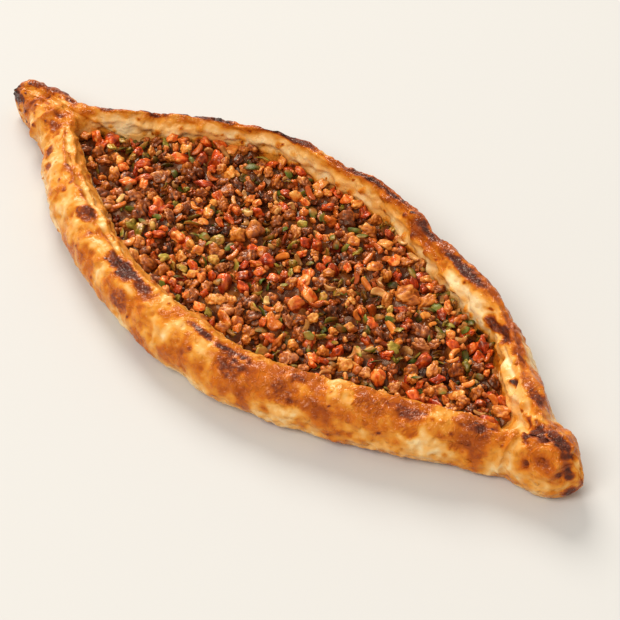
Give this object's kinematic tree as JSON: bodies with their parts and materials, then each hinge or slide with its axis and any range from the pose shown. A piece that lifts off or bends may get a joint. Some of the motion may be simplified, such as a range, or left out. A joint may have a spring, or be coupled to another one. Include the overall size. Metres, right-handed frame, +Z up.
{
  "type": "turkish pide",
  "caption": "Boat-shaped baked flatbread with rolled rims and pinched ends, its trough filled with minced meat and diced vegetables.",
  "frame": {"origin": "centre of the underside's bounding box, on the surface the pide lies on", "axes": "+X along the boat towards the fatter knob, +Y towards the slimmer rim, +Z up"},
  "size_m": [0.36, 0.1431, 0.0267],
  "materials": {
    "dough": "baked dough, golden with dark brown blisters, satin glaze",
    "filling": "cooked minced meat and diced vegetables, moist"
  },
  "bodies": {
    "root": {"crust": "dough", "filling": "filling"}
  },
  "joints": []
}
